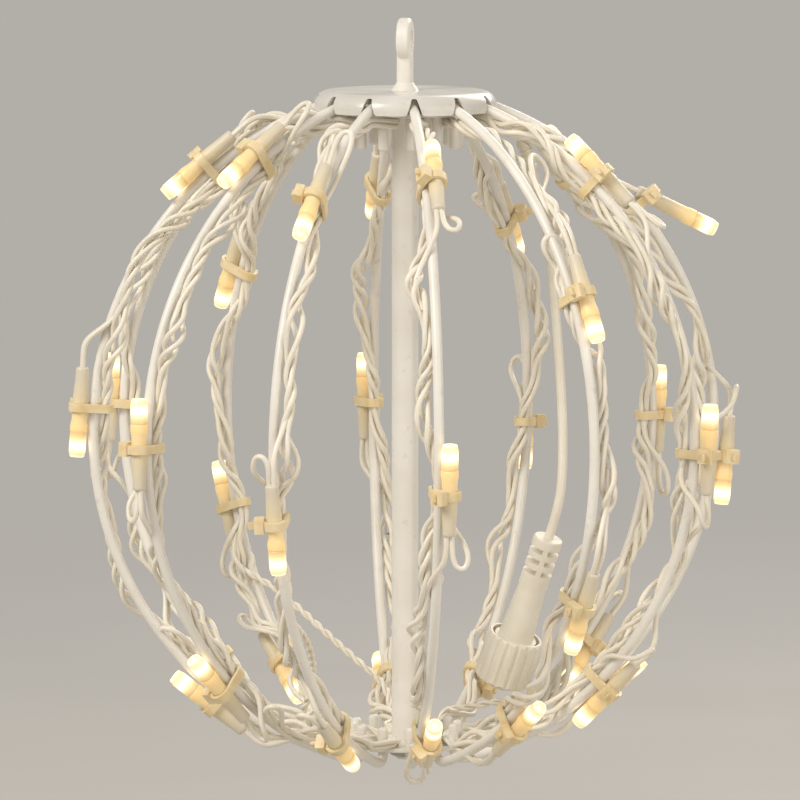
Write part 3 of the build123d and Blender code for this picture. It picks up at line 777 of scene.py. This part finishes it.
def nylon():
    """Natural nylon ties: milky, faintly yellow, with light inside the thin band and a waxy shine. Their
    skin is drawn coarser than it is, so that it shows."""
    material, tree, shade, place = new_material(
        "natural_nylon", IOR=1.53, Subsurface_Weight=0.3, Subsurface_Scale=1.2 * MM,
        Subsurface_Radius=(1.0, 0.75, 0.4))
    cloud = add(tree, "ShaderNodeTexNoise", {"Vector": place, "Scale": per_mm(3.5), "Detail": 3.0})
    tone = add(tree, "ShaderNodeValToRGB", {"Fac": cloud.outputs["Fac"]},
               [(0.3, "#e6cf9c"), (0.7, "#f0dfbb")])
    tree.links.new(tone.outputs["Color"], shade.inputs["Base Color"])
    gloss = add(tree, "ShaderNodeMapRange", {"Value": cloud.outputs["Fac"], "To Min": 0.3, "To Max": 0.45})
    tree.links.new(gloss.outputs["Result"], shade.inputs["Roughness"])
    skin = add(tree, "ShaderNodeTexNoise", {"Vector": place, "Scale": per_mm(0.7), "Detail": 1.0})
    bump = add(tree, "ShaderNodeBump", {
        "Height": skin.outputs["Fac"], "Strength": 0.3, "Distance": 0.05 * MM})
    tree.links.new(bump.outputs["Normal"], shade.inputs["Normal"])
    return material


def socket_plastic_painted_glow():
    """Moulded ivory lamp holders, with painted lamp light: a warmer tone and a painted glow towards the
    lens, for the light that comes through the plastic.
    """
    material, tree, shade, place = new_material(
        "ivory_socket_painted_glow", IOR=1.5, Subsurface_Weight=0.25, Subsurface_Scale=1.5 * MM,
        Subsurface_Radius=(1.0, 0.7, 0.35))
    along = add(tree, "ShaderNodeAttribute", {}, attribute_name="along").outputs["Fac"]
    # ivory at the back end, warming towards the lens: painted lamp light coming through the plastic
    tone = add(tree, "ShaderNodeValToRGB", {"Fac": along},
               [(0.0, "#dcd3c1"), (0.5, "#e8dab8"), (1.0, "#f4d796")])
    cloud = add(tree, "ShaderNodeTexNoise", {"Vector": place, "Scale": per_mm(4), "Detail": 3.0})
    clouded_painted_glow_tone = add(tree, "ShaderNodeMixRGB", {
        "Fac": 0.12, "Color1": tone.outputs["Color"], "Color2": cloud.outputs["Color"]},
        blend_type="SOFT_LIGHT")
    tree.links.new(clouded_painted_glow_tone.outputs["Color"], shade.inputs["Base Color"])
    gloss = add(tree, "ShaderNodeMapRange", {"Value": cloud.outputs["Fac"], "To Min": 0.3, "To Max": 0.48})
    tree.links.new(gloss.outputs["Result"], shade.inputs["Roughness"])
    # a painted glow towards the lens end, though the holder is no lamp
    glow = add(tree, "ShaderNodeMapRange", {"Value": along, "From Min": 0.5, "To Max": 0.26},
               interpolation_type="SMOOTHSTEP")
    tree.links.new(glow.outputs["Result"], shade.inputs["Emission Strength"])
    shade.inputs["Emission Color"].default_value = colour("#ffd596")
    return material


def lit_lens():
    """A clear acrylic lens with the lamp on: white-hot in its barrel and at its tip, a little dimmer and
    more amber at the bevel, which is painted shade that lets its shape read, and yellow at its foot."""
    material, tree, shade, _ = new_material("lit_clear_lens", IOR=1.49, Roughness=0.12)
    along = add(tree, "ShaderNodeAttribute", {}, attribute_name="along").outputs["Fac"]
    shade.inputs["Base Color"].default_value = colour("#d9c59c")
    # the more amber stop at the bevel is painted shade, so that the lens's shape reads
    lamp_tones_and_painted_bevel_shade = [(0.0, "#ffc45a"), (0.25, "#ffdd98"), (0.5, "#fff0d2"), (0.86, "#ffe4b0"), (1.0, "#ffefcf")]
    tone = add(tree, "ShaderNodeValToRGB", {"Fac": along}, lamp_tones_and_painted_bevel_shade)
    tree.links.new(tone.outputs["Color"], shade.inputs["Emission Color"])
    # the dimmer stop at the bevel is painted shade, so that the lens's shape reads
    lamp_powers_and_painted_bevel_shade = [(0.0, "#666666"), (0.25, "#a8a8a8"), (0.55, "#ffffff"), (0.86, "#a4a4a4"), (1.0, "#d0d0d0")]
    power = add(tree, "ShaderNodeValToRGB", {"Fac": along}, lamp_powers_and_painted_bevel_shade)
    strength = add(tree, "ShaderNodeMath", {0: power.outputs["Color"], 1: LENS_GLOW}, operation="MULTIPLY")
    tree.links.new(strength.outputs["Value"], shade.inputs["Emission Strength"])
    return material


def brass():
    """Turned brass contacts, a little tarnished."""
    material, tree, shade, place = new_material("turned_brass", Metallic=1.0)
    cloud = add(tree, "ShaderNodeTexNoise", {"Vector": place, "Scale": per_mm(1.5), "Detail": 3.0})
    tone = add(tree, "ShaderNodeValToRGB", {"Fac": cloud.outputs["Fac"]},
               [(0.3, "#b08d45"), (0.7, "#d2b066")])
    tree.links.new(tone.outputs["Color"], shade.inputs["Base Color"])
    gloss = add(tree, "ShaderNodeMapRange", {"Value": cloud.outputs["Fac"], "To Min": 0.2, "To Max": 0.4})
    tree.links.new(gloss.outputs["Result"], shade.inputs["Roughness"])
    return material


def dress(piece, material):
    piece.data.materials.clear()
    piece.data.materials.append(material)


coat = powder_coat("white_powder_coat", "#efebe3", "#e7e2d7", "#c4baa8", 0.34)
# The cap's coat is the same white powder coat drawn greyer and darker: painted shade, for a cap that the
# lamps below it don't light.
cap_painted_shade_coat = powder_coat("white_cap_powder_painted_grey_shade", "#dfdcd5", "#d3cfc7", "#aea698", 0.22)
string_vinyl = pvc("ivory_string_vinyl", "#f2ecdf", "#e9e1cf", 0.36, 0.8)
plug_vinyl = pvc("ivory_plug_vinyl", "#eee8db", "#e5decd", 0.46, 1.4)
tie_nylon = nylon()
socket_painted_glow_look = socket_plastic_painted_glow()
lens_look = lit_lens()
zinc = zinc_plate()
CAD_LOOKS = {
    "eye_bolt": coat, "top_cap": cap_painted_shade_coat, "cap_nut": zinc, "centre_post": coat, "top_disc": coat,
    "bottom_disc": coat, "bottom_nut": zinc, "plug_body": plug_vinyl, "plug_nut": plug_vinyl,
    "plug_contacts": brass(),
}
for name, material in CAD_LOOKS.items():
    dress(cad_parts[name], material)
for rib, (strands, sockets, lenses) in enumerate(rib_pieces):
    dress(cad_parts[f"rib_{rib + 1:02d}"], coat)
    dress(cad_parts[f"cable_ties_{rib + 1:02d}"], tie_nylon)
    dress(strands, string_vinyl)
    dress(sockets, socket_painted_glow_look)
    dress(lenses, lens_look)
    dress(tie_tails[rib], tie_nylon)
for piece in lead_pieces + jumpers:
    dress(piece, string_vinyl)


# Floor and light

def make_floor():
    """A pale floor that fades into the plain background all round, and shows from above alone."""
    material, tree, shade, place = new_material("pale_floor", Roughness=0.9)
    cloud = add(tree, "ShaderNodeTexNoise", {"Vector": place, "Scale": per_mm(180), "Detail": 2.0})
    tone = add(tree, "ShaderNodeValToRGB", {"Fac": cloud.outputs["Fac"]},
               [(0.3, "#b5b2ad"), (0.7, "#bbb8b3")])
    tree.links.new(tone.outputs["Color"], shade.inputs["Base Color"])
    out = add(tree, "ShaderNodeVectorMath", {0: place}, operation="LENGTH").outputs["Value"]
    fade = add(tree, "ShaderNodeMapRange", {
        "Value": out, "From Min": FLOOR_EVEN * MM, "From Max": FLOOR_RADIUS * MM,
        "To Min": 1.0, "To Max": 0.0}, interpolation_type="SMOOTHSTEP")
    underside = add(tree, "ShaderNodeNewGeometry", {}).outputs["Backfacing"]
    solid = add(tree, "ShaderNodeMath", {0: fade.outputs["Result"], 1: underside},
                operation="SUBTRACT", use_clamp=True)
    tree.links.new(solid.outputs["Value"], shade.inputs["Alpha"])
    shape = bmesh.new()
    bmesh.ops.create_circle(shape, cap_ends=True, radius=FLOOR_RADIUS * MM, segments=FLOOR_SEGMENTS)
    floor = mesh_piece("floor", shape)
    floor.location.z = BALL_CENTRE.z - FLOOR_DROP * MM
    dress(floor, material)


def soft_light(name, place, size, power, hex_colour):
    data = bpy.data.lights.new(name, "AREA")
    data.size = size
    data.energy = power
    data.color = colour(hex_colour)[:3]
    lamp = bpy.data.objects.new(name, data)
    lamp.location = BALL_CENTRE + Vector(place)
    lamp.rotation_euler = (-Vector(place)).to_track_quat("-Z", "Y").to_euler()
    bpy.context.scene.collection.objects.link(lamp)


def make_light():
    """Lamps, an even light from all round, and the plain background that the camera and gloss see."""
    for lamp in STUDIO_LAMPS:
        soft_light(*lamp)
    world = bpy.data.worlds.new("studio")
    world.use_nodes = True
    tree = world.node_tree
    around = tree.nodes["Background"]
    around.inputs["Color"].default_value = colour("#f2eee8")
    around.inputs["Strength"].default_value = AROUND_LIGHT
    backdrop = add(tree, "ShaderNodeBackground", {"Color": colour("#b2aea8"), "Strength": 1.0})
    path = add(tree, "ShaderNodeLightPath", {})
    shown = path.outputs["Is Camera Ray"]
    for ray in ("Is Glossy Ray", "Is Transmission Ray"):
        shown = add(tree, "ShaderNodeMath", {0: shown, 1: path.outputs[ray]},
                    operation="ADD", use_clamp=True).outputs["Value"]
    mixed = add(tree, "ShaderNodeMixShader", {
        "Fac": shown, 1: around.outputs["Background"], 2: backdrop.outputs["Background"]})
    tree.links.new(mixed.outputs["Shader"], tree.nodes["World Output"].inputs["Surface"])
    bpy.context.scene.world = world


make_floor()
make_light()
bpy.context.scene.view_settings.view_transform = "Standard"
